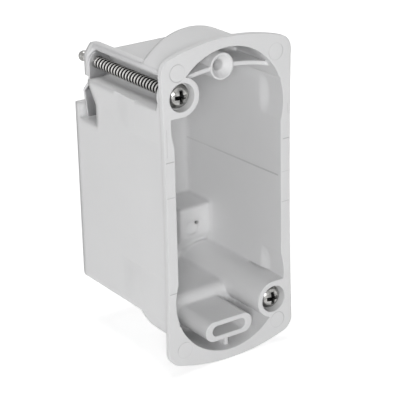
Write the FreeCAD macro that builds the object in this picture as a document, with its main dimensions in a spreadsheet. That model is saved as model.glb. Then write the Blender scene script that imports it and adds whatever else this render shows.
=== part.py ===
import FreeCAD, Part
import math
import os

import Sketcher

# Single-gang switch box for a hollow wall: one moulded body with an arched front flange,
# and in two opposite corners a long screw that carries a bent steel swing clamp.
# Millimetres. +Z is up and the open front faces -Y. The origin is the middle of the
# flange's rear face, the plane that lies on the wall board.

SIZES = [
    # Flange
    ("flange_overlap", 1.3, "how far the flange stands out past the side walls at its waist"),
    ("flange_apex", 51.6, "height of the arched top edge above the middle"),
    ("flange_arch_radius", 66.0, "radius of the arched top and bottom edges"),
    ("flange_corner_radius", 4.6, "corner radius of the flange"),
    ("flange_flare", 0.7, "how much wider the flange is at its corners than at its waist"),
    ("flange_thick", 1.8, "thickness of the flange"),
    # Box behind the flange
    ("inner_half_width", 19.3, "half width of the opening and of the inside"),
    ("inner_half_height", 35.6, "half height of the deep inside"),
    ("wall", 2.0, "wall of the box"),
    ("box_depth", 50.6, "depth behind the board face"),
    ("box_corner_radius", 2.6, "outside corner radius of the deep box"),
    ("floor_edge_radius", 3.0, "rounding where the deep inside meets the arched ends"),
    ("arch_radius", 20.3, "inside radius of the arched ends"),
    ("arch_height", 28.2, "height of the arch centres"),
    ("arch_depth", 17.6, "depth of the arched ends behind the board face"),
    # Clamp screw and its channel
    ("screw_across", 16.2, "sideways place of a clamp screw"),
    ("screw_height", 36.35, "height of a clamp screw"),
    ("channel_radius", 4.2, "inside radius of the screw channel"),
    ("channel_wall", 1.8, "wall of the screw channel"),
    ("channel_reach", 3.9, "how far the lower side of the channel reaches outward from the screw"),
    ("cover_reach", 1.1, "how far the channel cover reaches outward from the screw"),
    ("channel_front", 3.4, "front end of the channel"),
    ("web_setback", 6.0, "front of the web that ends the channel, from the box's back"),
    ("web_thick", 2.0, "thickness of the web that ends the channel"),
    ("web_radius", 5.3, "outline radius of the web round the screw"),
    ("web_reach", 3.5, "how far the web reaches outward from the screw"),
    ("web_shoulder", 2.8, "height above the screw where the web's edge starts to slant"),
    ("head_seat_radius", 4.35, "radius of the recess for the screw head"),
    ("head_seat_depth", 1.6, "depth of the head seat behind the board face"),
    ("seat_boss_radius", 5.5, "outside radius of the boss round the head seat"),
    ("screw_clearance", 0.25, "clearance round a screw in its holes"),
    # Pocket that the parked clamp hangs in
    ("pocket_inner", 9.0, "sideways place of the pocket's inner side"),
    ("pocket_wall", 1.7, "wall of the pocket"),
    ("pocket_setback", 12.4, "front of the pocket, from the box's back"),
    ("pocket_back_wall", 2.4, "wall behind the pocket"),
    ("slant_setback", 8.2, "front of the pocket beside the channel, from the box's back"),
    ("pocket_slant_low", 25.0, "height where the slanted front edge starts"),
    ("pocket_floor", 18.2, "height of the pocket's floor"),
    ("back_notch_floor", 23.0, "height where the open back corner starts"),
    ("cut_overshoot", 2.0, "how far a cut runs on past the face that it opens"),
    ("pin_mark_across", 11.8, "sideways place of the round mark on the pocket's front"),
    ("pin_mark_height", 23.7, "height of the round mark on the pocket's front"),
    ("pin_mark_radius", 2.6, "radius of the round mark"),
    ("pin_mark_depth", 0.3, "depth of the round mark"),
    ("pin_hole_radius", 0.7, "radius of the small blind hole at the mark's rim"),
    ("pin_hole_depth", 1.3, "depth of the small blind hole"),
    # Fixings for the wiring device
    ("device_height", 42.0, "height of the device fixings"),
    ("boss_radius", 4.1, "outside radius of the round boss"),
    ("boss_front", 1.0, "front of the round boss behind the board face"),
    ("boss_mouth_radius", 3.5, "radius of the countersunk mouth"),
    ("boss_mouth_depth", 2.2, "depth of the countersunk mouth"),
    ("boss_bore_radius", 1.75, "radius of the device screw hole"),
    ("slot_boss_half", 8.75, "half length of the slotted boss"),
    ("slot_boss_radius", 3.3, "end radius of the slotted boss"),
    ("slot_boss_front", 0.3, "how far the slotted boss stands in front of the board face"),
    ("slot_half", 6.2, "half length of the slot"),
    ("slot_radius", 1.75, "end radius of the slot"),
    ("rib_thick", 1.3, "thickness of the ribs that carry the bosses"),
    ("rib_arch_radius", 60.0, "radius of the arched rib beside the round boss"),
    ("rib_front", 1.3, "front of the ribs behind the board face"),
    ("rib_reach", 17.6, "half length of the arched rib, into the arch wall"),
    # Knock-outs in the back
    ("knockout_radius", 10.0, "radius of a cable knock-out"),
    ("knockout_height", 15.0, "height of the knock-outs from the middle"),
    ("knockout_groove", 1.2, "width of the groove round a knock-out"),
    ("knockout_depth", 1.3, "depth of the groove round a knock-out"),
    # Screw
    ("shank_radius", 1.95, "radius of the screw over its thread"),
    ("head_radius", 3.75, "radius of the screw head"),
    ("head_height", 2.4, "height of the screw head"),
    ("head_edge", 1.1, "height of the head's straight edge"),
    ("recess_span", 2.1, "half span of the cross recess"),
    ("recess_wing", 0.5, "half width of a wing of the cross recess"),
    ("recess_depth", 1.5, "depth of the cross recess"),
    ("screw_reach", 3.8, "how far the screw's end stands out behind the box"),
    ("neck_radius", 1.1, "radius of the neck before the ball end"),
    ("neck_length", 0.9, "length of the neck before the ball end"),
    ("ball_radius", 1.75, "radius of the ball end"),
    # Swing clamp
    ("clamp_thick", 1.0, "thickness of the clamp's sheet"),
    ("clamp_half_width", 3.75, "half width of the clamp"),
    ("clamp_clearance", 0.08, "clearance of the screw in the clamp's hole"),
    ("clamp_gap", 0.4, "gap between the clamp and the web behind it"),
    ("clamp_bend_height", 5.6, "distance from the screw to the clamp's first bend"),
    ("clamp_knee_height", 8.95, "distance from the screw to the clamp's knee"),
    ("clamp_knee_back", 3.5, "how far the knee stands behind the hub"),
    ("clamp_length", 17.4, "distance from the screw to the clamp's tip"),
    ("clamp_tip_back", 1.9, "how far the tip stands behind the hub"),
]

# Lengths that follow from the sizes above
FLANGE_HALF_WIDTH = "(inner_half_width + wall + flange_overlap)"
CHANNEL_BACK = "(box_depth - web_setback)"
POCKET_FRONT = "(box_depth - pocket_setback)"
POCKET_BACK = "(box_depth - pocket_back_wall)"
SLANT_TOP = "(box_depth - slant_setback)"
SCREW_TIP = "(box_depth + screw_reach)"

# Reaches for finding the edges that get rounded
SAME_PLACE = 1e-4
NEAR_CORNER = 0.5

doc = FreeCAD.newDocument("switch_box")
sheet = doc.addObject("Spreadsheet::Sheet", "Sizes")
for row, (alias, number, meaning) in enumerate(SIZES, start=1):
    sheet.set("A%d" % row, meaning)
    sheet.set("B%d" % row, str(number))
    sheet.setAlias("B%d" % row, alias)
doc.recompute()
size = {alias: float(number) for alias, number, meaning in SIZES}
workings = doc.addObject("Spreadsheet::Sheet", "Workings")
worked_out = {}


def bound(text):
    """The expression for a formula of size names, which read from the sheet."""
    words = []
    word = ""
    for letter in text + " ":
        if letter.isalnum() or letter == "_":
            word += letter
            continue
        if word in size:
            word = "Sizes." + word
        words.append(word + letter)
        word = ""
    return "".join(words).strip()


def value(text):
    """The number that a formula of size names gives, worked out on a sheet of its own."""
    if text not in worked_out:
        workings.set("A1", "=" + bound(text))
        workings.recompute()
        number = workings.get("A1")
        worked_out[text] = float(getattr(number, "Value", number))
    return worked_out[text]


def plane(body, role):
    """The origin plane of a body with this role."""
    for feature in body.Origin.OriginFeatures:
        if feature.Role == role:
            return feature


def new_sketch(body, name, role, offset):
    """A sketch on a plane of its body's origin, moved along the plane's normal by offset."""
    sketch = body.newObject("Sketcher::SketchObject", name)
    sketch.AttachmentSupport = (plane(body, role), [""])
    sketch.MapMode = "FlatFace"
    sketch.setExpression(".AttachmentOffset.Base.z", bound(offset))
    return sketch


def bind(sketch, constraint, text):
    """Add a constraint whose size is a formula of size names."""
    index = sketch.addConstraint(constraint)
    sketch.setExpression("Constraints[%d]" % index, bound(text))


def place_point(sketch, geometry, end, across, up):
    """Fix a point of a sketch by formulas for its two coordinates."""
    bind(sketch, Sketcher.Constraint("DistanceX", -1, 1, geometry, end, value(across)), across)
    bind(sketch, Sketcher.Constraint("DistanceY", -1, 1, geometry, end, value(up)), up)


def arc_centre(start, stop, arc):
    """Centre of an arc from its end points and its radius or one coordinate of its centre."""
    middle = (start + stop) * 0.5
    along = (stop - start).normalize()
    normal = FreeCAD.Vector(-along.y, along.x, 0)
    if "radius" in arc:
        half = (stop - start).Length / 2
        rise = math.sqrt(value(arc["radius"]) ** 2 - half ** 2)
        return middle + normal * (rise if arc["turn"] > 0 else -rise)
    if "centre_across" in arc:
        return middle + normal * ((value(arc["centre_across"]) - middle.x) / normal.x)
    return middle + normal * ((value(arc["centre_up"]) - middle.y) / normal.y)


def outline(sketch, corners):
    """Closed outline of lines and arcs. A corner is (across, up) or (across, up, arc)."""
    points = [FreeCAD.Vector(value(corner[0]), value(corner[1]), 0) for corner in corners]
    ends = []
    for index, corner in enumerate(corners):
        start = points[index]
        stop = points[(index + 1) % len(points)]
        if len(corner) == 2:
            geometry = sketch.addGeometry(Part.LineSegment(start, stop))
            ends.append((geometry, 1, 2))
            continue
        arc = corner[2]
        centre = arc_centre(start, stop, arc)
        circle = Part.Circle(centre, FreeCAD.Vector(0, 0, 1), (start - centre).Length)
        first = math.atan2(start.y - centre.y, start.x - centre.x)
        last = math.atan2(stop.y - centre.y, stop.x - centre.x)
        if arc["turn"] > 0:
            geometry = sketch.addGeometry(Part.ArcOfCircle(circle, first, last))
            ends.append((geometry, 1, 2))
        else:
            geometry = sketch.addGeometry(Part.ArcOfCircle(circle, last, first))
            ends.append((geometry, 2, 1))
    for index, corner in enumerate(corners):
        geometry, first, last = ends[index]
        following, following_first, following_last = ends[(index + 1) % len(ends)]
        sketch.addConstraint(
            Sketcher.Constraint("Coincident", geometry, last, following, following_first)
        )
        place_point(sketch, geometry, first, corner[0], corner[1])
        if len(corner) == 2:
            continue
        arc = corner[2]
        if "radius" in arc:
            number = value(arc["radius"])
            bind(sketch, Sketcher.Constraint("Radius", geometry, number), arc["radius"])
        elif "centre_across" in arc:
            text = arc["centre_across"]
            bind(sketch, Sketcher.Constraint("DistanceX", -1, 1, geometry, 3, value(text)), text)
        else:
            text = arc["centre_up"]
            bind(sketch, Sketcher.Constraint("DistanceY", -1, 1, geometry, 3, value(text)), text)


def rectangle(sketch, left, right, low, high):
    """Rectangle from formulas for its four sides."""
    outline(sketch, [(left, low), (right, low), (right, high), (left, high)])


def circle(sketch, across, up, radius):
    """Circle from formulas for its centre and radius."""
    centre = FreeCAD.Vector(value(across), value(up), 0)
    shape = Part.Circle(centre, FreeCAD.Vector(0, 0, 1), value(radius))
    geometry = sketch.addGeometry(shape)
    place_point(sketch, geometry, 3, across, up)
    bind(sketch, Sketcher.Constraint("Radius", geometry, value(radius)), radius)


def stadium(sketch, half, radius, up):
    """Slot shape that lies across, centred sideways."""
    reach = "%s - %s" % (half, radius)
    outline(sketch, [
        ("-(%s)" % reach, "%s - %s" % (up, radius)),
        (reach, "%s - %s" % (up, radius), {"centre_across": reach, "turn": 1}),
        (reach, "%s + %s" % (up, radius)),
        ("-(%s)" % reach, "%s + %s" % (up, radius), {"centre_across": "-(%s)" % reach, "turn": 1}),
    ])


def add_depth(body, kind, name, sketch, length, reverse):
    """Pad or Pocket of a sketch over a length given by a formula."""
    feature = body.newObject("PartDesign::" + kind, name)
    feature.Profile = sketch
    feature.setExpression("Length", bound(length))
    feature.Reversed = reverse
    sketch.Visibility = False
    return feature


def front_pad(body, name, draw, start, stop):
    """Material between two depths behind the board face, from an outline seen from the front."""
    sketch = new_sketch(body, name + "_outline", "XZ_Plane", "-(%s)" % start)
    draw(sketch)
    return add_depth(body, "Pad", name, sketch, "(%s) - (%s)" % (stop, start), True)


def front_pocket(body, name, draw, start, stop):
    """Cut between two depths behind the board face, from an outline seen from the front."""
    sketch = new_sketch(body, name + "_outline", "XZ_Plane", "-(%s)" % start)
    draw(sketch)
    return add_depth(body, "Pocket", name, sketch, "(%s) - (%s)" % (stop, start), False)


def opposite_corner(body, name, originals):
    """Repeat features half a turn round the front-to-back axis."""
    pattern = body.newObject("PartDesign::PolarPattern", name)
    pattern.Originals = originals
    pattern.Axis = (plane(body, "Y_Axis"), [""])
    pattern.Angle = 360
    pattern.Occurrences = 2
    body.Tip = pattern
    doc.recompute()
    return pattern


def edges_along_y(shape, lowest, highest, across, up):
    """Names of the straight edges along Y in a depth range, at the four corners (across, up)."""
    names = []
    for index, edge in enumerate(shape.Edges, start=1):
        box = edge.BoundBox
        along = box.XLength < SAME_PLACE and box.ZLength < SAME_PLACE
        inside = lowest - SAME_PLACE <= box.YMin and box.YMax <= highest + SAME_PLACE
        beside = abs(abs(box.XMin) - value(across)) < NEAR_CORNER
        level = abs(abs(box.ZMin) - value(up)) < NEAR_CORNER
        if along and inside and beside and level:
            names.append("Edge%d" % index)
    return names


def round_edges(body, name, base, names, radius):
    """Fillet the named edges of a feature."""
    rounding = body.newObject("PartDesign::Fillet", name)
    rounding.Base = (body.getObject(base), names)
    rounding.setExpression("Radius", bound(radius))
    doc.recompute()


def make_box_body():
    """The moulded box: flange, deep box, arched ends, screw channels, pockets and bosses."""
    body = doc.addObject("PartDesign::Body", "box_body")
    outer_width = "inner_half_width + wall"
    outer_height = "inner_half_height + wall"
    arch_outer = "arch_radius + wall"
    screw_x = "-screw_across"
    tube = "channel_radius + channel_wall"

    corner_x = "%s + flange_flare" % FLANGE_HALF_WIDTH
    drop = "flange_arch_radius - sqrt(flange_arch_radius^2 - (%s)^2)" % corner_x
    corner_z = "flange_apex - (%s)" % drop

    def flange(sketch):
        # The waist is an arc through both corners whose middle is flange_flare further in.
        waist_radius = "((%s)^2 + flange_flare^2) / (2 * flange_flare)" % corner_z
        outline(sketch, [
            ("-(%s)" % corner_x, "-(%s)" % corner_z, {"radius": "flange_arch_radius", "turn": 1}),
            (corner_x, "-(%s)" % corner_z, {"radius": waist_radius, "turn": -1}),
            (corner_x, corner_z, {"radius": "flange_arch_radius", "turn": 1}),
            ("-(%s)" % corner_x, corner_z, {"radius": waist_radius, "turn": -1}),
        ])

    def deep_box(sketch):
        rectangle(sketch, "-(%s)" % outer_width, outer_width,
                  "-(%s)" % outer_height, outer_height)

    def arch_walls(sketch):
        for side in ("", "-"):
            circle(sketch, "0", side + "arch_height", arch_outer)

    def deep_inside(sketch):
        rectangle(sketch, "-inner_half_width", "inner_half_width",
                  "-inner_half_height", "inner_half_height")

    def arch_inside(sketch):
        for side in ("", "-"):
            circle(sketch, "0", side + "arch_height", "arch_radius")

    front_pad(body, "flange", flange, "-flange_thick", "0")
    doc.recompute()
    names = edges_along_y(body.Shape, -size["flange_thick"], 0, corner_x, corner_z)
    round_edges(body, "flange_corners", "flange", names, "flange_corner_radius")
    front_pad(body, "deep_box", deep_box, "0", "box_depth")
    doc.recompute()
    names = edges_along_y(body.Shape, 0, size["box_depth"], outer_width, outer_height)
    round_edges(body, "deep_box_corners", "deep_box", names, "box_corner_radius")
    front_pad(body, "arch_walls", arch_walls, "0", "arch_depth")
    front_pocket(body, "deep_inside", deep_inside, "-flange_thick", "box_depth - wall")
    front_pocket(body, "arch_inside", arch_inside, "-flange_thick", "arch_depth - wall")
    edges = new_sketch(body, "floor_edges_outline", "YZ_Plane", "-inner_half_width")
    for side, turn in (("", 1), ("-", -1)):
        edge = "arch_depth - wall"
        outline(edges, [
            (edge, side + "inner_half_height"),
            (edge, side + "(inner_half_height + floor_edge_radius)",
             {"radius": "floor_edge_radius", "turn": turn}),
            (edge + " + floor_edge_radius", side + "inner_half_height"),
        ])
    add_depth(body, "Pocket", "floor_edges", edges, "2 * inner_half_width", True)
    doc.recompute()

    def channel_wall(sketch):
        outline(sketch, [
            ("%s - channel_reach" % screw_x, "screw_height - (%s)" % tube),
            (screw_x, "screw_height - (%s)" % tube, {"centre_across": screw_x, "turn": 1}),
            (screw_x, "screw_height + (%s)" % tube),
            ("%s - channel_reach" % screw_x, "screw_height + (%s)" % tube),
        ])

    pocket_face = "%s - pocket_wall" % POCKET_FRONT
    slant_face = "%s - pocket_wall" % SLANT_TOP
    web_bottom = "screw_height - web_radius"
    side_view = new_sketch(body, "pocket_walls_outline", "YZ_Plane", "pocket_wall - pocket_inner")
    outline(side_view, [
        (pocket_face, "pocket_floor - pocket_wall"),
        ("box_depth", "pocket_floor - pocket_wall"),
        ("box_depth", "screw_height"),
        (slant_face, "screw_height"),
        (slant_face, "%s + pocket_wall" % web_bottom),
        (pocket_face, "pocket_slant_low + pocket_wall"),
    ])
    pocket_walls = add_depth(body, "Pad", "pocket_walls", side_view,
                             "%s - pocket_inner + pocket_wall" % outer_width, True)

    def screw_circle(radius):
        def draw(sketch):
            circle(sketch, screw_x, "screw_height", radius)
        return draw

    walls = [
        front_pad(body, "channel_walls", channel_wall, "-flange_thick", "box_depth"),
        front_pad(body, "seat_boss", screw_circle("seat_boss_radius"),
                  "-flange_thick", "channel_front"),
        pocket_walls,
    ]
    doc.recompute()
    opposite_corner(body, "opposite_walls", walls)

    def arched_rib(sketch):
        low = "device_height - rib_thick / 2"
        fall = "(rib_arch_radius - sqrt(rib_arch_radius^2 - rib_reach^2))"
        outline(sketch, [
            ("rib_reach", "%s - %s" % (low, fall)),
            ("rib_reach", "%s + rib_thick - %s" % (low, fall),
             {"radius": "rib_arch_radius", "turn": 1}),
            ("-rib_reach", "%s + rib_thick - %s" % (low, fall)),
            ("-rib_reach", "%s - %s" % (low, fall), {"radius": "rib_arch_radius", "turn": -1}),
        ])

    arch_back = "arch_depth - wall / 2"
    front_pad(body, "arched_rib", arched_rib, "rib_front", arch_back)

    beyond = "-(%s + cut_overshoot)" % outer_width
    above = "screw_height + %s + cut_overshoot" % tube

    def channel(sketch):
        outline(sketch, [
            (beyond, "screw_height - channel_radius"),
            (screw_x, "screw_height - channel_radius", {"centre_across": screw_x, "turn": 1}),
            (screw_x, "screw_height + channel_radius"),
            (beyond, "screw_height + channel_radius"),
        ])

    def cover_edge(sketch):
        rectangle(sketch, beyond, "%s - cover_reach" % screw_x,
                  "screw_height", above)

    def back_notch(sketch):
        rectangle(sketch, beyond, "-pocket_inner", "back_notch_floor", above)

    def pin_mark(sketch):
        circle(sketch, "-pin_mark_across", "pin_mark_height", "pin_mark_radius")

    # The small hole's middle is on the mark's rim, 30 degrees below the level of its centre.
    def pin_hole(sketch):
        circle(sketch, "-pin_mark_across - pin_mark_radius * sqrt(0.75)",
               "pin_mark_height - pin_mark_radius / 2", "pin_hole_radius")

    def web_edge(sketch):
        side = "%s - web_reach" % screw_x
        rise = "sqrt(web_radius^2 - web_reach^2)"
        outline(sketch, [
            (beyond, "%s - cut_overshoot" % web_bottom),
            (screw_x, "%s - cut_overshoot" % web_bottom),
            (screw_x, web_bottom, {"radius": "web_radius", "turn": -1}),
            (side, "screw_height - %s" % rise),
            (side, "screw_height + web_shoulder"),
            ("%s - cover_reach" % screw_x, "screw_height + %s" % tube),
            ("%s - cover_reach" % screw_x, above),
            (beyond, above),
        ])

    cuts = [
        front_pocket(body, "channel", channel, "channel_front", CHANNEL_BACK),
        front_pocket(body, "cover_edge", cover_edge, "channel_front", CHANNEL_BACK),
        front_pocket(body, "head_seat", screw_circle("head_seat_radius"),
                     "-flange_thick", "head_seat_depth"),
        front_pocket(body, "screw_hole", screw_circle("shank_radius + screw_clearance"),
                     "head_seat_depth", "box_depth"),
        front_pocket(body, "back_notch", back_notch, CHANNEL_BACK + " + web_thick", "box_depth"),
        front_pocket(body, "web_edge", web_edge, CHANNEL_BACK, CHANNEL_BACK + " + web_thick"),
        front_pocket(body, "pin_mark", pin_mark, pocket_face, pocket_face + " + pin_mark_depth"),
        front_pocket(body, "pin_hole", pin_hole, pocket_face, pocket_face + " + pin_hole_depth"),
    ]
    side_view = new_sketch(body, "parking_pocket_outline", "YZ_Plane", "-pocket_inner")
    outline(side_view, [
        (POCKET_FRONT, "pocket_floor"),
        (POCKET_BACK, "pocket_floor"),
        (POCKET_BACK, web_bottom),
        (CHANNEL_BACK, web_bottom),
        (CHANNEL_BACK, "screw_height"),
        (SLANT_TOP, "screw_height"),
        (SLANT_TOP, web_bottom),
        (POCKET_FRONT, "pocket_slant_low"),
    ])
    cuts.append(add_depth(body, "Pocket", "parking_pocket", side_view,
                          "%s - pocket_inner + cut_overshoot" % outer_width, False))
    doc.recompute()
    opposite_corner(body, "opposite_cuts", cuts)

    def round_boss(sketch):
        circle(sketch, "0", "device_height", "boss_radius")

    def boss_bore(sketch):
        circle(sketch, "0", "device_height", "boss_bore_radius")

    def slotted_boss(sketch):
        stadium(sketch, "slot_boss_half", "slot_boss_radius", "-device_height")

    def slot(sketch):
        stadium(sketch, "slot_half", "slot_radius", "-device_height")

    def standing_rib(sketch):
        rectangle(sketch, "-rib_thick / 2", "rib_thick / 2",
                  "-(arch_height + arch_radius + wall / 2)",
                  "-device_height - slot_boss_radius + wall / 10")

    front_pad(body, "round_boss", round_boss, "boss_front", arch_back)
    front_pad(body, "slotted_boss", slotted_boss, "-slot_boss_front", arch_back)
    front_pad(body, "standing_rib", standing_rib, "rib_front", arch_back)
    front_pocket(body, "boss_bore", boss_bore, "boss_front", "arch_depth")
    front_pocket(body, "slot", slot, "-slot_boss_front", "arch_depth - wall")
    doc.recompute()

    mouth = new_sketch(body, "boss_mouth_outline", "YZ_Plane", "0")
    outline(mouth, [
        ("boss_front", "device_height"),
        ("boss_front", "device_height + boss_mouth_radius"),
        ("boss_front + boss_mouth_depth", "device_height + boss_bore_radius"),
        ("boss_front + boss_mouth_depth", "device_height"),
    ])
    axis_start = FreeCAD.Vector(0, value("device_height"), 0)
    axis_stop = FreeCAD.Vector(value("arch_depth"), value("device_height"), 0)
    axis = mouth.addGeometry(Part.LineSegment(axis_start, axis_stop), True)
    place_point(mouth, axis, 1, "0", "device_height")
    place_point(mouth, axis, 2, "arch_depth", "device_height")
    groove = body.newObject("PartDesign::Groove", "boss_mouth")
    groove.Profile = mouth
    groove.ReferenceAxis = (mouth, ["Axis0"])
    groove.Angle = 360
    mouth.Visibility = False
    doc.recompute()

    def knockout_grooves(sketch):
        for side in ("", "-"):
            circle(sketch, "0", side + "knockout_height", "knockout_radius")
            circle(sketch, "0", side + "knockout_height", "knockout_radius - knockout_groove")

    front_pocket(body, "knockout_grooves", knockout_grooves,
                 "box_depth - knockout_depth", "box_depth")
    doc.recompute()
    return body


def make_screw():
    """Clamp screw along Y: pan head with a cross recess, long shank, necked ball end."""
    body = doc.addObject("PartDesign::Body", "clamp_screw")
    profile = new_sketch(body, "turned_outline", "XY_Plane", "0")
    head_under = "head_seat_depth"
    head_top = "head_seat_depth - head_height"
    ball_middle = SCREW_TIP + " - ball_radius"
    neck_end = "%s - sqrt(ball_radius^2 - neck_radius^2)" % ball_middle
    dome = "((head_radius - recess_wing)^2 + (head_height - head_edge)^2)"
    dome_radius = "%s / (2 * (head_height - head_edge))" % dome
    outline(profile, [
        ("0", head_top),
        ("recess_wing", head_top, {"radius": dome_radius, "turn": 1}),
        ("head_radius", "head_seat_depth - head_edge"),
        ("head_radius", head_under),
        ("shank_radius", head_under),
        ("shank_radius", "%s - neck_length" % neck_end),
        ("neck_radius", "%s - neck_length" % neck_end),
        ("neck_radius", neck_end, {"centre_up": ball_middle, "turn": 1}),
        ("0", SCREW_TIP),
    ])
    turned = body.newObject("PartDesign::Revolution", "turned")
    turned.Profile = profile
    turned.ReferenceAxis = (profile, ["V_Axis"])
    turned.Angle = 360
    profile.Visibility = False
    doc.recompute()

    def cross(sketch):
        wing = "recess_wing"
        span = "recess_span"
        outline(sketch, [
            ("-" + wing, "-" + span), (wing, "-" + span), (wing, "-" + wing),
            (span, "-" + wing), (span, wing), (wing, wing),
            (wing, span), ("-" + wing, span), ("-" + wing, wing),
            ("-" + span, wing), ("-" + span, "-" + wing), ("-" + wing, "-" + wing),
        ])

    front_pocket(body, "cross_recess", cross, head_top, "%s + recess_depth" % head_top)
    doc.recompute()
    return body


def make_clamp():
    """Swing clamp of bent sheet, hanging down: hub plate, slanted knee and straight finger."""
    body = doc.addObject("PartDesign::Body", "swing_clamp")
    hub_back = CHANNEL_BACK + " - clamp_gap"
    hub_front = "%s - clamp_thick" % hub_back
    slant = "sqrt((clamp_knee_height - clamp_bend_height)^2 + clamp_knee_back^2)"
    slant_height = "(clamp_knee_height - clamp_bend_height)"
    # The sheet keeps its thickness on the slant: its back corners sit this much higher.
    slant_shift = "clamp_thick * ((%s) - clamp_knee_back) / %s" % (slant, slant_height)
    side_view = new_sketch(body, "bent_outline", "YZ_Plane", "-clamp_half_width")
    outline(side_view, [
        (hub_front, "clamp_half_width"),
        (hub_front, "-clamp_bend_height"),
        ("%s + clamp_knee_back" % hub_front, "-clamp_knee_height"),
        ("%s + clamp_tip_back" % hub_front, "-clamp_length"),
        ("%s + clamp_tip_back" % hub_back, "-clamp_length"),
        ("%s + clamp_knee_back" % hub_back, "-clamp_knee_height + %s" % slant_shift),
        (hub_back, "-clamp_bend_height + %s" % slant_shift),
        (hub_back, "clamp_half_width"),
    ])
    add_depth(body, "Pad", "bent_strip", side_view, "2 * clamp_half_width", False)
    doc.recompute()

    def hub_corners(sketch):
        half = "clamp_half_width"
        past = "%s + cut_overshoot" % half
        outline(sketch, [
            ("-(%s)" % half, "0", {"centre_up": "0", "turn": -1}),
            (half, "0"),
            (past, "0"),
            (past, past),
            ("-(%s)" % past, past),
            ("-(%s)" % past, "0"),
        ])

    def bore(sketch):
        circle(sketch, "0", "0", "shank_radius + clamp_clearance")

    front_pocket(body, "hub_corners", hub_corners, hub_front, hub_back)
    front_pocket(body, "hub_bore", bore, hub_front, hub_back)
    doc.recompute()
    return body


def place_pair(body, left_name, right_name):
    """Name a piece for the upper left corner and link its copy, half a turn round, to it."""
    body.Label = left_name
    body.setExpression(".Placement.Base.x", bound("-screw_across"))
    body.setExpression(".Placement.Base.z", bound("screw_height"))
    copy = doc.addObject("PartDesign::Body", right_name)
    copy.Label = right_name
    base = copy.newObject("PartDesign::FeatureBase", right_name + "_shape")
    base.BaseFeature = body
    copy.Tip = base
    copy.setExpression(".Placement.Base.x", bound("screw_across"))
    copy.setExpression(".Placement.Base.z", bound("-screw_height"))
    copy.Placement.Rotation = FreeCAD.Rotation(FreeCAD.Vector(0, 1, 0), 180)
    doc.recompute()
    return [body, copy]


pieces = [make_box_body()]
pieces += place_pair(make_screw(), "clamp_screw_left", "clamp_screw_right")
pieces += place_pair(make_clamp(), "swing_clamp_left", "swing_clamp_right")
doc.recompute()

for item in doc.Objects:
    if "Invalid" in item.State or "Error" in item.State:
        raise RuntimeError("%s is in state %s" % (item.Name, item.State))
for piece in pieces:
    if piece.Shape.isNull() or not piece.Shape.isValid():
        raise RuntimeError("%s has no valid shape" % piece.Label)

os.makedirs("parts", exist_ok=True)
for piece in pieces:
    piece.Shape.exportStep("parts/%s.step" % piece.Label)
    print("%-20s %d solid, %.1f mm3" % (piece.Label, len(piece.Shape.Solids), piece.Shape.Volume))
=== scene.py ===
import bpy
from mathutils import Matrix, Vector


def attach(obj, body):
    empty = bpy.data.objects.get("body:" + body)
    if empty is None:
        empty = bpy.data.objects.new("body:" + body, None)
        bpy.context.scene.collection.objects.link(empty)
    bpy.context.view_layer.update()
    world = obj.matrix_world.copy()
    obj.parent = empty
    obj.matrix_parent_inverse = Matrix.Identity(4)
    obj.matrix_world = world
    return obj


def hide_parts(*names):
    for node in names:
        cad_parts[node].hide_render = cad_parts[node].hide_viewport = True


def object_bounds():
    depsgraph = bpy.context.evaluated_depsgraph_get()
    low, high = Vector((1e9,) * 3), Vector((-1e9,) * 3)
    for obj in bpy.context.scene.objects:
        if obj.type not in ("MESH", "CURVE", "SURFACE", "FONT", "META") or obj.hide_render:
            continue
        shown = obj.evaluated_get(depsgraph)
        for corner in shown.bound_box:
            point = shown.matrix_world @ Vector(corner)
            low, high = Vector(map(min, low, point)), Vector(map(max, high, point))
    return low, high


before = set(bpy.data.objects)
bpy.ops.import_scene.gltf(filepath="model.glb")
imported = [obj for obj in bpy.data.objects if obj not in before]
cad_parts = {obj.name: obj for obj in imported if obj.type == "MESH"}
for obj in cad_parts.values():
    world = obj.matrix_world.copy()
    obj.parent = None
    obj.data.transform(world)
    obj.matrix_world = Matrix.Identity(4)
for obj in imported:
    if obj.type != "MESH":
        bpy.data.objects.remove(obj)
cad_box = [list(corner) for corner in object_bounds()]

import math

import bmesh
import bpy
from mathutils import Matrix, Vector

MM = 0.001

# Camera fitted to the photograph: angles in degrees, lens in millimetres, places in metres
AZIMUTH, ELEVATION, ROLL = -34.18, 21.08, -1.45
LENS, SENSOR_WIDTH, SHIFT_X, SHIFT_Y = 145.49, 36.0, 0.0201, -0.0402
CAMERA_AIM, CAMERA_DISTANCE = (0, 0.0182, 0), 0.5

# Lamps: name, place in metres, disk size, power, and whether reflections show it
LAMPS = (
    ("key", (-0.550, -0.767, 0.270), 0.3, 5.3, True),
    ("fill", (-0.95, 0.27, 0.15), 0.6, 0.75, True),
    ("top", (0.05, 0.1, 1.0), 0.5, 2.9, True),
    ("rear", (0.30, 0.95, 0.25), 0.4, 2.4, False),
)
LAMP_AIM = (0, 0.02, 0)

# Surroundings: strength of the world's light, and the floor's half width in metres
WORLD_LIGHT, FLOOR_HALF = 0.17, 6
WHITE = (1, 1, 1, 1)

# Clamp screws, in millimetres: axis, head with its dome's flat middle, shank, neck and ball end
SCREW_X, SCREW_Z = 16.2, 36.35
HEAD_TOP, HEAD_UNDER, HEAD_RADIUS, HEAD_EDGE = -1.55, 1.6, 3.7, 0.2
HEAD_FLAT, HEAD_ROUNDING, HEAD_RIM = 0.5, 0.15, 0.12
SHANK_START, SHANK_RADIUS, ROOT_RADIUS, PITCH = 1.5, 1.95, 1.5, 1.6
NECK_START, NECK_TAPER, NECK_END, NECK_RADIUS = 50.39, 0.12, 51.2, 1.1
BALL_MIDDLE, BALL_RADIUS = 52.65, 1.75

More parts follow.
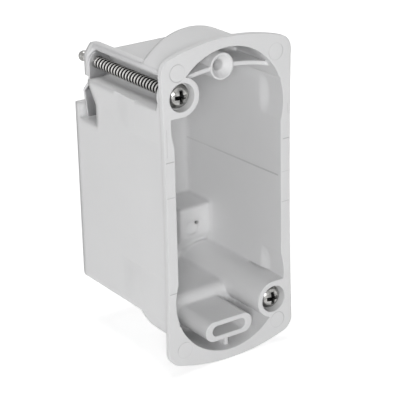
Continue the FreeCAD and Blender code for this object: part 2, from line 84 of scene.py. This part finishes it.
# Thread: run-in and run-out, the crest's shape, the plain part below it, the step at the neck
RUN_IN_START, RUN_IN, RUN_OUT = 2.6, 1.6, 0.8
CREST_FOOT, CREST_FLANK, PLAIN_DROP, NECK_STEP = 0.72, 0.62, 0.12, 0.35

# Cross recess: (depth below the head's top, half length, half width) of a wing's sections
WING_SECTIONS = ((-0.6, 2.5, 0.78), (0.9, 1.9, 0.5), (1.8, 0.5, 0.3))
# Four-sided pit in its middle: (depth below the head's top, half diagonal)
PIT_SECTIONS = ((-0.6, 1.05), (0.8, 0.8), (1.8, 0.3))

# Sizes of the swing clamps
HUB_BACK, SHEET, CLAMP_HALF, CLAMP_BORE = 44.2, 1.0, 3.75, 2.03
BEND_Z, KNEE_Z, KNEE_BACK, TIP_Z, TIP_BACK = 5.6, 8.95, 3.5, 17.4, 1.9
BEND_RADIUS, TIP_CORNER = 1.1, 0.7

# Inside of the box: half width, the arched ends' radius, centre height and floor, and the wall
INNER_HALF, ARCH_RADIUS, ARCH_Z, ARCH_FLOOR, WALL = 19.3, 20.3, 28.2, 15.6, 2.0

# Fairings: where the inner ones start, and the depth over which each kind meets the side
INNER_START, INNER_BLEND, OUTER_BLEND = 4.6, 4.8, 9.0

# Witness rings of the ejector pins in the flange's corners
PIN_MARK_X, PIN_MARK_Z, PIN_MARK_RADIUS = 17.6, 43.9, 2.6

# Insert lines across the flange's side strips: side, inner and outer |x|, z, strength
CROSS_LINES = (
    (-1, 19.4, 22.3, 17.6, 1.0),
    (-1, 19.4, 22.3, 6.6, 0.6),
    (-1, 19.4, 22.3, -24.2, 0.9),
    (1, 19.9, 22.6, 15.9, 1.0),
    (1, 19.4, 22.3, 5.3, 0.35),
    (1, 19.4, 22.3, -4.5, 0.6),
)
# Insert lines along the strips: side, lower and upper z; they share one |x| and strength
LONG_LINES = ((-1, 19.0, 27.6), (1, 23.8, 26.8))
LONG_LINE_X, LONG_LINE_STRENGTH = 21.9, 0.45

# Mould line on the right inner side: height at the board face and fall towards the back
MOULD_LINE_Z, MOULD_LINE_FALL = 3.89, 0.022

# Colours of the plastic, the plating with its painted shade, the clamp's sheet and the floor
PLASTIC_DEEP, PLASTIC_PALE = (0.745, 0.746, 0.750, 1), (0.780, 0.781, 0.785, 1)
MARK_COLOUR = (0.30, 0.30, 0.305, 1)
PLATING, STAINED_PLATING = (0.72, 0.71, 0.69, 1), (0.50, 0.49, 0.47, 1)
PAINTED_BALL_SHADE, PAINTED_SHADE_PLATING = (0.16, 0.16, 0.155, 1), (0.24, 0.24, 0.235, 1)
PAINTED_THREAD_SHADE = (0.012, 0.012, 0.012, 1)
SHEET_DEEP, SHEET_PALE = (0.46, 0.46, 0.465, 1), (0.62, 0.62, 0.63, 1)
FLOOR_DEEP, FLOOR_PALE = (0.90, 0.90, 0.90, 1), (0.93, 0.93, 0.93, 1)


class Nodes:
    """Short helpers to build a node tree."""

    def __init__(self, tree):
        self.tree = tree
        self.tree.nodes.clear()

    def new(self, kind):
        return self.tree.nodes.new("ShaderNode" + kind)

    def link(self, source, target):
        """Join a socket, or set a plain value."""
        if isinstance(source, bpy.types.NodeSocket):
            self.tree.links.new(source, target)
        elif source is not None:
            target.default_value = source

    def math(self, operation, first, second=None):
        node = self.new("Math")
        node.operation = operation
        for socket, source in zip(node.inputs, (first, second)):
            self.link(source, socket)
        return node.outputs[0]

    def ramp(self, source, low, high, to_low, to_high, smooth=False):
        """Map a range of values to another."""
        node = self.new("MapRange")
        node.interpolation_type = "SMOOTHSTEP" if smooth else "LINEAR"
        self.link(source, node.inputs["Value"])
        for name, number in zip(("From Min", "From Max", "To Min", "To Max"),
                                (low, high, to_low, to_high)):
            node.inputs[name].default_value = number
        return node.outputs["Result"]

    def white_rays(self):
        """1 for the rays that see a white background: camera, glossy and transmission."""
        rays = self.new("LightPath").outputs
        bounced = self.math("MAXIMUM", rays["Is Glossy Ray"], rays["Is Transmission Ray"])
        return self.math("MAXIMUM", rays["Is Camera Ray"], bounced)


class Surface(Nodes):
    """Node tree of a material round one principled shader."""

    def __init__(self, name):
        self.material = bpy.data.materials.new(name)
        self.material.use_nodes = True
        super().__init__(self.material.node_tree)
        self.output = self.new("OutputMaterial")
        self.shader = self.new("BsdfPrincipled")
        self.tree.links.new(self.shader.outputs[0], self.output.inputs["Surface"])
        self.coordinates = self.new("TexCoord").outputs["Object"]

    def split(self, vector):
        node = self.new("SeparateXYZ")
        self.link(vector, node.inputs[0])
        return node.outputs

    def stretch(self, scale):
        """Object coordinates times a scale for each axis."""
        node = self.new("Mapping")
        self.link(self.coordinates, node.inputs["Vector"])
        node.inputs["Scale"].default_value = scale
        return node.outputs[0]

    def noise(self, scale, detail, vector=None):
        node = self.new("TexNoise")
        self.link(vector if vector is not None else self.coordinates, node.inputs["Vector"])
        node.inputs["Scale"].default_value = scale
        node.inputs["Detail"].default_value = detail
        return node.outputs["Fac"]

    def mix(self, factor, first, second):
        """Blend two colours."""
        node = self.new("Mix")
        node.data_type = "RGBA"
        self.link(factor, node.inputs["Factor"])
        for name, colour in (("A", first), ("B", second)):
            socket = [s for s in node.inputs if s.name == name and s.type == "RGBA"][0]
            self.link(colour, socket)
        return [s for s in node.outputs if s.type == "RGBA"][0]

    def bump(self, height, distance, strength, normal=None):
        node = self.new("Bump")
        node.inputs["Strength"].default_value = strength
        node.inputs["Distance"].default_value = distance
        self.link(height, node.inputs["Height"])
        if normal is not None:
            self.link(normal, node.inputs["Normal"])
        return node.outputs[0]


def add_camera():
    """Camera at the photograph's viewing angle, from the fitted azimuth, elevation and roll."""
    azimuth, elevation, roll = (math.radians(angle) for angle in (AZIMUTH, ELEVATION, ROLL))
    back = Vector((
        math.sin(azimuth) * math.cos(elevation),
        -math.cos(azimuth) * math.cos(elevation),
        math.sin(elevation),
    ))
    right = (-back).cross(Vector((0, 0, 1))).normalized()
    up = right.cross(-back)
    right_rolled = math.cos(roll) * right + math.sin(roll) * up
    up_rolled = -math.sin(roll) * right + math.cos(roll) * up
    turn = Matrix((right_rolled, up_rolled, back)).transposed().to_4x4()
    data = bpy.data.cameras.new("camera")
    data.sensor_width = SENSOR_WIDTH
    data.lens = LENS
    data.shift_x = SHIFT_X
    data.shift_y = SHIFT_Y
    data.clip_start = 0.01
    data.clip_end = 20.0
    camera = bpy.data.objects.new("camera", data)
    camera.matrix_world = Matrix.Translation(Vector(CAMERA_AIM) + back * CAMERA_DISTANCE) @ turn
    bpy.context.scene.collection.objects.link(camera)
    bpy.context.scene.camera = camera


def line_mask(n, value, place, half_width):
    """1 near a place along a coordinate, fading to 0 round half_width away from it."""
    away = n.math("ABSOLUTE", n.math("SUBTRACT", value, place * MM))
    return n.ramp(away, half_width * MM * 0.5, half_width * MM * 1.5, 1.0, 0.0, smooth=True)


def span(n, value, low, high, strength):
    """A strength between two places along a coordinate, fading to 0 over 0.3 mm at each end."""
    rise = n.ramp(value, low * MM, (low + 0.3) * MM, 0.0, strength)
    fall = n.ramp(value, high * MM, (high + 0.3) * MM, 1.0, 0.0)
    return n.math("MULTIPLY", rise, fall)


def flange_marks(n, x, y, z):
    """Witness rings and insert lines on the flange's front face."""
    ring_x = n.math("SUBTRACT", n.math("ABSOLUTE", x), PIN_MARK_X * MM)
    ring_z = n.math("SUBTRACT", n.math("ABSOLUTE", z), PIN_MARK_Z * MM)
    square = n.math("ADD", n.math("MULTIPLY", ring_x, ring_x), n.math("MULTIPLY", ring_z, ring_z))
    worn = n.ramp(n.noise(210.0, 1.0), 0.42, 0.62, 0.15, 0.8)
    ring = line_mask(n, n.math("SQRT", square), PIN_MARK_RADIUS, 0.12)
    marks = n.math("MULTIPLY", ring, worn)
    for side, low, high, place, strength in CROSS_LINES:
        inside = span(n, n.math("MULTIPLY", x, side), low, high, strength)
        line = n.math("MULTIPLY", line_mask(n, z, place, 0.13), inside)
        marks = n.math("MAXIMUM", marks, line)
    for side, low, high in LONG_LINES:
        across = n.math("MULTIPLY", x, side)
        inside = span(n, z, low, high, LONG_LINE_STRENGTH)
        line = n.math("MULTIPLY", line_mask(n, across, LONG_LINE_X, 0.1), inside)
        marks = n.math("MAXIMUM", marks, line)
    front = n.ramp(y, -1.7 * MM, -1.5 * MM, 1.0, 0.0)
    return n.math("MULTIPLY", marks, front)


def mould_line(n, x, y, z):
    """Line along the right inner side, falling a little towards the back and fading there."""
    slope = n.math("ADD", z, n.math("MULTIPLY", y, MOULD_LINE_FALL))
    inner = n.math("MULTIPLY", n.ramp(x, 18.9 * MM, 19.1 * MM, 0.0, 1.0),
                   n.ramp(x, 19.5 * MM, 19.7 * MM, 1.0, 0.0))
    inner = n.math("MULTIPLY", inner, n.ramp(y, -0.6 * MM, 0.0, 0.0, 1.0))
    inner = n.math("MULTIPLY", inner, n.ramp(y, 4.0 * MM, 40.0 * MM, 0.8, 0.35))
    return n.math("MULTIPLY", line_mask(n, slope, MOULD_LINE_Z, 0.26), inner)


def plastic_material(name, soft_edges):
    """Satin grey moulded plastic with mould lines, pin marks and, if wanted, soft edges."""
    n = Surface(name)
    x, y, z = n.split(n.coordinates)
    marks = n.math("MAXIMUM", flange_marks(n, x, y, z), mould_line(n, x, y, z))

    cloud = n.noise(38.0, 3.0)
    grain = n.noise(2600.0, 2.0)
    tone = n.math("ADD", n.ramp(cloud, 0.3, 0.7, 0.0, 0.7), n.ramp(grain, 0.3, 0.7, 0.0, 0.3))
    colour = n.mix(tone, PLASTIC_DEEP, PLASTIC_PALE)
    colour = n.mix(n.math("MULTIPLY", marks, 0.5), colour, MARK_COLOUR)
    n.link(colour, n.shader.inputs["Base Color"])
    n.link(n.ramp(n.noise(300.0, 3.0), 0.3, 0.7, 0.36, 0.46), n.shader.inputs["Roughness"])
    n.shader.inputs["IOR"].default_value = 1.5

    rounded = None
    if soft_edges:
        soft = n.new("Bevel")
        soft.samples = 8
        n.link(n.ramp(y, -1.0 * MM, 30.0 * MM, 0.4 * MM, 3.0 * MM), soft.inputs["Radius"])
        rounded = soft.outputs[0]
    fine = n.bump(grain, 0.00002, 0.35, rounded)
    relief = n.bump(n.math("SUBTRACT", 1.0, marks), 0.00012, 0.8, fine)
    n.link(relief, n.shader.inputs["Normal"])
    return n.material


def screw_material():
    """Plated steel with painted shade: near black down in the thread and the recess, darker on the
    head, towards the flange and on the ball end.
    """
    n = Surface("plated_screw")
    x, y, z = n.split(n.coordinates)
    radius = n.math("SQRT", n.math("ADD", n.math("MULTIPLY", x, x), n.math("MULTIPLY", z, z)))
    on_thread = n.ramp(y, 2.4 * MM, 3.2 * MM, 0.0, 1.0)
    before_neck = n.ramp(y, 50.2 * MM, 50.5 * MM, 1.0, 0.0)
    # Painted shade, near black, in the thread's valleys and in the cross recess; the same mask adds
    # roughness there
    valley = n.ramp(radius, 1.68 * MM, 1.92 * MM, 1.0, 0.0, smooth=True)
    valley = n.math("MULTIPLY", n.math("MULTIPLY", valley, on_thread), before_neck)
    recess = n.ramp(y, -0.95 * MM, -0.35 * MM, 0.0, 1.0)
    recess = n.math("MULTIPLY", recess, n.ramp(radius, 2.3 * MM, 2.6 * MM, 1.0, 0.0))
    recess = n.math("MULTIPLY", recess, n.ramp(y, 0.5 * MM, 0.6 * MM, 1.0, 0.0))
    painted_shade = n.math("MAXIMUM", valley, recess)

    stain = n.ramp(n.noise(900.0, 3.0), 0.35, 0.75, 0.0, 0.25)
    colour = n.mix(stain, PLATING, STAINED_PLATING)
    # Painted shade: the ball end turned mostly to a near black colour
    ball_shade = n.ramp(y, 50.2 * MM, 50.8 * MM, 0.0, 0.75)
    colour = n.mix(ball_shade, colour, PAINTED_BALL_SHADE)
    # Painted shade: patches of it on the head, and more of it on the thread towards the flange
    patchy_head_shade = n.ramp(n.noise(620.0, 2.0), 0.40, 0.62, 1.0, 0.45)
    head = n.ramp(y, 1.4 * MM, 1.8 * MM, 1.0, 0.0)
    flange_shade = n.ramp(y, 6.0 * MM, 24.0 * MM, 0.5, 0.12)
    head_and_flange_shade = n.math("MAXIMUM", n.math("MULTIPLY", head, patchy_head_shade), flange_shade)
    colour = n.mix(head_and_flange_shade, colour, PAINTED_SHADE_PLATING)
    n.link(n.mix(painted_shade, colour, PAINTED_THREAD_SHADE), n.shader.inputs["Base Color"])

    n.shader.inputs["Metallic"].default_value = 1.0
    rough = n.ramp(n.noise(1400.0, 2.0), 0.3, 0.7, 0.13, 0.22)
    n.link(n.math("ADD", rough, n.math("MULTIPLY", painted_shade, 0.25)), n.shader.inputs["Roughness"])
    scratches = n.noise(900.0, 2.0, n.stretch((1.0, 12.0, 1.0)))
    n.link(n.bump(scratches, 0.00001, 0.3), n.shader.inputs["Normal"])
    return n.material


def clamp_material():
    """Dull zinc-plated sheet steel with rolling lines."""
    n = Surface("clamp_steel")
    rolled = n.noise(1100.0, 3.0, n.stretch((6.0, 1.0, 0.4)))
    cloud = n.noise(220.0, 3.0)
    tone = n.math("ADD", n.ramp(rolled, 0.3, 0.7, 0.0, 0.4), n.ramp(cloud, 0.3, 0.7, 0.0, 0.6))
    n.link(n.mix(tone, SHEET_DEEP, SHEET_PALE), n.shader.inputs["Base Color"])
    n.shader.inputs["Metallic"].default_value = 1.0
    n.link(n.ramp(rolled, 0.3, 0.7, 0.34, 0.48), n.shader.inputs["Roughness"])
    n.link(n.bump(rolled, 0.00002, 0.4), n.shader.inputs["Normal"])
    return n.material


def add_piece(name, mesh, place, material, body, node):
    """Put a mesh in the scene at a place, let it ride on a body and stand for its CAD node."""
    piece = bpy.data.objects.new(name, mesh)
    bpy.context.scene.collection.objects.link(piece)
    piece.matrix_world = place
    mesh.materials.clear()
    mesh.materials.append(material)
    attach(piece, body)
    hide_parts(node)


def mesh_from(points, faces, name):
    """Mesh from points in millimetres."""
    mesh = bpy.data.meshes.new(name)
    mesh.from_pydata([tuple(c * MM for c in p) for p in points], [], faces)
    mesh.update()
    return mesh


def outward(mesh):
    """The mesh with joined points and its faces turned outward."""
    work = bmesh.new()
    work.from_mesh(mesh)
    bmesh.ops.remove_doubles(work, verts=work.verts, dist=1e-7)
    bmesh.ops.recalc_face_normals(work, faces=work.faces)
    work.to_mesh(mesh)
    work.free()
    return mesh


def circle(radius, y, steps):
    """Ring of points round the Y axis."""
    ring = []
    for k in range(steps):
        angle = 2 * math.pi * k / steps
        ring.append((radius * math.cos(angle), y, radius * math.sin(angle)))
    return ring


def stacked(rings, name):
    """Closed solid through rings that have the same number of points."""
    count = len(rings[0])
    points = [point for ring in rings for point in ring]
    last = len(points) - count
    faces = [tuple(range(count)), tuple(range(len(points) - 1, last - 1, -1))]
    for first in range(0, last, count):
        for k in range(count):
            after = (k + 1) % count
            faces.append((first + k, first + count + k, first + count + after, first + after))
    return outward(mesh_from(points, faces, name))


def lathe(profile, steps, name):
    """Closed solid of revolution about Y from (radius, y) points whose ends lie on the axis."""
    points = [(0.0, profile[0][1], 0.0)]
    faces = []
    rings = profile[1:-1]
    for radius, y in rings:
        points += circle(radius, y, steps)
    points.append((0.0, profile[-1][1], 0.0))
    last = len(points) - 1
    for k in range(steps):
        after = (k + 1) % steps
        faces.append((0, 1 + k, 1 + after))
        for row in range(len(rings) - 1):
            a, b = 1 + row * steps, 1 + (row + 1) * steps
            faces.append((a + k, b + k, b + after, a + after))
        end = 1 + (len(rings) - 1) * steps
        faces.append((last, end + after, end + k))
    return outward(mesh_from(points, faces, name))


def applied(mesh, kind, settings):
    """The mesh with one modifier applied."""
    holder = bpy.data.objects.new("holder", mesh)
    bpy.context.scene.collection.objects.link(holder)
    modifier = holder.modifiers.new(kind.lower(), kind)
    for name, setting in settings.items():
        setattr(modifier, name, setting)
    bpy.context.view_layer.update()
    result = bpy.data.meshes.new_from_object(
        holder.evaluated_get(bpy.context.evaluated_depsgraph_get()))
    bpy.data.objects.remove(holder)
    return result


def softened(mesh, width, angle):
    """The mesh with a two-step bevel, in millimetres, along edges above an angle in degrees."""
    return applied(mesh, "BEVEL", {"width": width * MM, "segments": 2, "limit_method": "ANGLE",
                                   "angle_limit": math.radians(angle)})


def cut(mesh, tool, operation="DIFFERENCE"):
    """Boolean of two meshes."""
    cutter = bpy.data.objects.new("cutter", tool)
    bpy.context.scene.collection.objects.link(cutter)
    result = applied(mesh, "BOOLEAN", {"object": cutter, "operation": operation, "solver": "EXACT"})
    bpy.data.objects.remove(cutter)
    return result


def smooth(mesh, angle):
    """Smooth shading with sharp edges above an angle in degrees."""
    mesh.polygons.foreach_set("use_smooth", [True] * len(mesh.polygons))
    mesh.set_sharp_from_angle(angle=math.radians(angle))
    return mesh


def joined(first, second):
    """One mesh of two."""
    work = bmesh.new()
    work.from_mesh(first)
    work.from_mesh(second)
    mesh = bpy.data.meshes.new("joined")
    work.to_mesh(mesh)
    work.free()
    return mesh


def eased(value):
    """Smooth step from 0 to 1."""
    value = min(max(value, 0.0), 1.0)
    return value * value * (3 - 2 * value)


def screw_head():
    """Pan head with a cross recess whose wings taper towards the bottom."""
    rise = HEAD_EDGE - HEAD_TOP
    dome = ((HEAD_RADIUS - HEAD_FLAT) ** 2 + rise ** 2) / (2 * rise)
    profile = [(0.0, HEAD_TOP)]
    for k in range(1, 13):
        r = HEAD_RADIUS * k / 12
        y = HEAD_TOP + dome - math.sqrt(dome ** 2 - max(r - HEAD_FLAT, 0.0) ** 2)
        profile.append((r - (HEAD_RIM if k == 12 else 0), y))
    profile += [
        (HEAD_RADIUS, HEAD_EDGE + HEAD_ROUNDING),
        (HEAD_RADIUS, HEAD_UNDER - HEAD_ROUNDING),
        (HEAD_RADIUS - HEAD_ROUNDING, HEAD_UNDER),
        (0.0, HEAD_UNDER),
    ]
    head = lathe(profile, 96, "head")
    for quarter in range(2):
        rings = []
        for depth, length, width in WING_SECTIONS:
            ring = []
            for u, v in ((-length, -width), (length, -width), (length, width), (-length, width)):
                ring.append((u, HEAD_TOP + depth, v) if quarter == 0 else (-v, HEAD_TOP + depth, u))
            rings.append(ring)
        head = cut(head, stacked(rings, "wing"))
    rings = []
    for depth, half in PIT_SECTIONS:
        ring = []
        for k in range(4):
            angle = math.pi / 4 + k * math.pi / 2
            ring.append((half * math.cos(angle), HEAD_TOP + depth, half * math.sin(angle)))
        rings.append(ring)
    head = cut(head, stacked(rings, "pit"))
    return softened(head, 0.07, 35)


def thread_radius(y, around):
    """Radius of the threaded shank at a place along it and a share of a turn round it."""
    run_in = min(max((y - RUN_IN_START) / RUN_IN, 0.0), 1.0)
    run_out = min(max((NECK_START - y) / RUN_OUT, 0.0), 1.0)
    from_crest = abs((y / PITCH - around) % 1.0 - 0.5) * 2
    crest = eased((CREST_FOOT - from_crest) / CREST_FLANK)
    plain = SHANK_RADIUS - PLAIN_DROP
    root = plain + (ROOT_RADIUS - plain) * run_in
    radius = root + (SHANK_RADIUS - root) * crest * run_in
    neck = NECK_RADIUS + NECK_STEP
    return min(radius, neck + (SHANK_RADIUS - neck) * run_out)


def screw_shank():
    """Threaded shank, neck and ball end as one lathed grid."""
    steps, rows_per_turn = 40, 12
    points, faces = [], []
    rows = int(round((NECK_START - SHANK_START) / PITCH * rows_per_turn))
    for row in range(rows + 1):
        y = SHANK_START + (NECK_START - SHANK_START) * row / rows
        for k in range(steps):
            radius = thread_radius(y, k / steps)
            angle = 2 * math.pi * k / steps
            points.append((radius * math.cos(angle), y, radius * math.sin(angle)))
    end = [(NECK_RADIUS, NECK_START + NECK_TAPER), (NECK_RADIUS, NECK_END)]
    first = math.asin(NECK_RADIUS / BALL_RADIUS)
    for k in range(1, 12):
        angle = first + (math.pi - first) * k / 12
        end.append((BALL_RADIUS * math.sin(angle), BALL_MIDDLE - BALL_RADIUS * math.cos(angle)))
    for radius, y in end:
        points += circle(radius, y, steps)
    total = rows + 1 + len(end)
    for row in range(total - 1):
        a, b = row * steps, (row + 1) * steps
        for k in range(steps):
            after = (k + 1) % steps
            faces.append((a + k, b + k, b + after, a + after))
    faces.append(tuple(range(steps)))
    points.append((0.0, BALL_MIDDLE + BALL_RADIUS, 0.0))
    last = (total - 1) * steps
    for k in range(steps):
        faces.append((last + k, len(points) - 1, last + (k + 1) % steps))
    return outward(mesh_from(points, faces, "shank"))


def rounded_path(corners, radius, steps):
    """A polyline with each inner corner replaced by an arc of points."""
    path = [corners[0]]
    for before, here, after in zip(corners, corners[1:], corners[2:]):
        into, out = (here - before).normalized(), (after - here).normalized()
        half = into.angle(out) / 2
        reach = radius * math.tan(half)
        start, stop = here - into * reach, here + out * reach
        bisector = (out - into).normalized()
        centre = here + bisector * (radius / math.cos(half))
        for k in range(steps + 1):
            spread = (start - centre).lerp(stop - centre, k / steps).normalized() * radius
            path.append(centre + spread)
    path.append(corners[-1])
    return path


def clamp_sheet():
    """Bent sheet with rounded bends, a round hub end, a running hole and softened edges."""
    middle = HUB_BACK - SHEET / 2
    corners = [Vector((middle, CLAMP_HALF)), Vector((middle, -BEND_Z)),
               Vector((middle + KNEE_BACK, -KNEE_Z)), Vector((middle + TIP_BACK, -TIP_Z))]
    path = rounded_path(corners, BEND_RADIUS, 8)
    faces_of_sheet = [[], []]
    for index, point in enumerate(path):
        before, after = path[max(index - 1, 0)], path[min(index + 1, len(path) - 1)]
        along = (after - before).normalized()
        normal = Vector((-along.y, along.x))
        faces_of_sheet[0].append(point + normal * SHEET / 2)
        faces_of_sheet[1].append(point - normal * SHEET / 2)
    section = faces_of_sheet[0] + faces_of_sheet[1][::-1]
    strip = stacked([[(x, p.x, p.y) for p in section] for x in (-CLAMP_HALF, CLAMP_HALF)], "strip")

    plan = []
    for k in range(33):
        angle = math.pi * k / 32
        plan.append((CLAMP_HALF * math.cos(angle), CLAMP_HALF * math.sin(angle)))
    for sign, begin in ((-1, math.pi), (1, 1.5 * math.pi)):
        for k in range(7):
            angle = begin + 0.5 * math.pi * k / 6
            plan.append((sign * (CLAMP_HALF - TIP_CORNER) + TIP_CORNER * math.cos(angle),
                         -TIP_Z + TIP_CORNER + TIP_CORNER * math.sin(angle)))
    front, back = 30.0, 60.0
    outline = stacked([[(u, y, w) for u, w in plan] for y in (front, back)], "outline")
    sheet = cut(strip, outline, "INTERSECT")
    bore = lathe([(0.0, front), (CLAMP_BORE, front), (CLAMP_BORE, back), (0.0, back)], 64, "bore")
    return softened(cut(sheet, bore), 0.14, 40)


def bulge(radius, half_width, up):
    """Distance from the middle to an arched end's side, at least the straight side's."""
    return max(math.sqrt(max(radius ** 2 - up ** 2, 0.0)), half_width)


def inner_skin(up, y):
    """Seen and hidden distance of an inner fairing, which sinks into the wall at its ends."""
    reach = math.sqrt(ARCH_RADIUS ** 2 - INNER_HALF ** 2)
    arch = bulge(ARCH_RADIUS, INNER_HALF, up)
    near = arch + 0.02 + (INNER_HALF - 0.05 - arch) * eased((y - INNER_START) / INNER_BLEND)
    sunk = 0.04 * max(abs(up) - reach - 2.0, 0.0) + 0.03 * max(y - ARCH_FLOOR - 1.9, 0.0)
    return near + sunk, arch + 0.3 + sunk


def outer_skin(up, y):
    """Seen and hidden distance of an outer fairing, which runs out along the straight side."""
    arch = bulge(ARCH_RADIUS + WALL, INNER_HALF + WALL, up)
    flat = INNER_HALF + WALL
    seen = arch + (flat - arch) * eased((y - ARCH_FLOOR - WALL) / OUTER_BLEND)
    return seen + 0.03, flat - 0.5


def fairings(skin, front, back, lowest, plain_end, channel_end):
    """Thin fillings at the four places where the arched ends bulge past the straight sides.

    Each spans from front to back in depth, and in height from lowest to its end, both measured
    outward from the arch's centre: channel_end beside a screw channel, else plain_end.
    """
    rows, columns = 30, 30
    points, faces = [], []
    for side, end in ((-1, -1), (-1, 1), (1, -1), (1, 1)):
        highest = plain_end if side == end else channel_end
        first = len(points)
        for row in range(rows + 1):
            y = front + (back - front) * row / rows
            for column in range(columns + 1):
                up = lowest + (highest - lowest) * column / columns
                for away in skin(up, y):
                    points.append((side * away, y, end * (ARCH_Z + up)))
        across = 2 * (columns + 1)
        # Seen and hidden sides, and the upper and lower edges
        for row in range(rows):
            for column in range(columns):
                a = first + row * across + 2 * column
                faces.append((a, a + 2, a + across + 2, a + across))
                faces.append((a + 1, a + across + 1, a + across + 3, a + 3))
            for a in (first + row * across, first + row * across + 2 * columns):
                faces.append((a, a + across, a + across + 1, a + 1))
        # Front and back edges
        for a in (first, first + rows * across):
            for column in range(columns):
                b = a + 2 * column
                faces.append((b, b + 1, b + 3, b + 2))
    return outward(mesh_from(points, faces, "fairings"))


def add_floor():
    """Pale floor that keeps the shadow and looks white further away."""
    low = cad_box[0][2]
    half = FLOOR_HALF
    corners = [(-half, -half, low), (half, -half, low), (half, half, low), (-half, half, low)]
    mesh = bpy.data.meshes.new("floor")
    mesh.from_pydata(corners, [], [(0, 1, 2, 3)])
    floor = bpy.data.objects.new("floor", mesh)
    bpy.context.scene.collection.objects.link(floor)
    n = Surface("floor")
    n.link(n.mix(n.noise(60.0, 3.0), FLOOR_DEEP, FLOOR_PALE), n.shader.inputs["Base Color"])
    n.shader.inputs["Roughness"].default_value = 0.7
    n.shader.inputs["Specular IOR Level"].default_value = 0.2
    glow, black = n.new("Emission"), n.new("Emission")
    glow.inputs["Color"].default_value = WHITE
    black.inputs["Strength"].default_value = 0.0
    x, y = n.split(n.coordinates)[:2]
    away = n.math("SQRT", n.math("ADD", n.math("MULTIPLY", x, x), n.math("MULTIPLY", y, y)))
    n.link(n.ramp(away, 0.15, 0.7, 0.5, 0.9), glow.inputs["Strength"])
    chosen = n.new("MixShader")
    n.link(n.white_rays(), chosen.inputs[0])
    n.link(black.outputs[0], chosen.inputs[1])
    n.link(glow.outputs[0], chosen.inputs[2])
    total = n.new("AddShader")
    n.link(n.shader.outputs[0], total.inputs[0])
    n.link(chosen.outputs[0], total.inputs[1])
    n.link(total.outputs[0], n.output.inputs["Surface"])
    mesh.materials.append(n.material)


def add_world():
    """Surroundings that look white and light the object only a little."""
    world = bpy.data.worlds.new("world")
    bpy.context.scene.world = world
    world.use_nodes = True
    n = Nodes(world.node_tree)
    around = n.new("Background")
    around.inputs["Color"].default_value = WHITE
    n.link(n.ramp(n.white_rays(), 0.0, 1.0, WORLD_LIGHT, 1.0), around.inputs["Strength"])
    n.link(around.outputs[0], n.new("OutputWorld").inputs["Surface"])


def add_lamps():
    """Soft disk lamps that face the object."""
    for name, place, size, power, mirrored in LAMPS:
        data = bpy.data.lights.new(name, "AREA")
        data.shape = "DISK"
        data.size = size
        data.energy = power
        lamp = bpy.data.objects.new(name, data)
        lamp.location = place
        lamp.visible_glossy = mirrored
        aim = Vector(LAMP_AIM) - Vector(place)
        lamp.rotation_euler = aim.to_track_quat("-Z", "Y").to_euler()
        bpy.context.scene.collection.objects.link(lamp)


def add_fairings(name, mesh, material):
    """Fairings that ride on the box beside its CAD mesh."""
    fairing = bpy.data.objects.new(name, smooth(mesh, 40))
    bpy.context.scene.collection.objects.link(fairing)
    mesh.materials.append(material)
    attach(fairing, "box")


add_camera()
add_floor()
add_world()
add_lamps()
bpy.context.scene.view_settings.view_transform = "Standard"

plastic = plastic_material("box_plastic", True)
plain_plastic = plastic_material("fairing_plastic", False)
plated = screw_material()
steel = clamp_material()
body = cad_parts["box_body"]
body.data.materials.clear()
body.data.materials.append(plastic)

inner = fairings(inner_skin, front=INNER_START, back=23.0,
                 lowest=-12.0, plain_end=6.8, channel_end=1.6)
outer = fairings(outer_skin, front=15.0, back=27.0,
                 lowest=-6.8, plain_end=6.6, channel_end=4.2)
add_fairings("inner_side_fairings", inner, plain_plastic)
add_fairings("outer_side_fairings", outer, plain_plastic)

screw_mesh = smooth(joined(screw_head(), screw_shank()), 40)
clamp_mesh = smooth(clamp_sheet(), 40)
half_turn = Matrix.Rotation(math.pi, 4, "Y")
for side, sign, turn in (("left", -1, Matrix.Identity(4)), ("right", 1, half_turn)):
    place = Matrix.Translation((sign * SCREW_X * MM, 0, -sign * SCREW_Z * MM)) @ turn
    add_piece("threaded_screw_" + side, screw_mesh.copy(), place, plated,
              side + "_screw", "clamp_screw_" + side)
    add_piece("bent_clamp_" + side, clamp_mesh.copy(), place, steel,
              side + "_clamp", "swing_clamp_" + side)
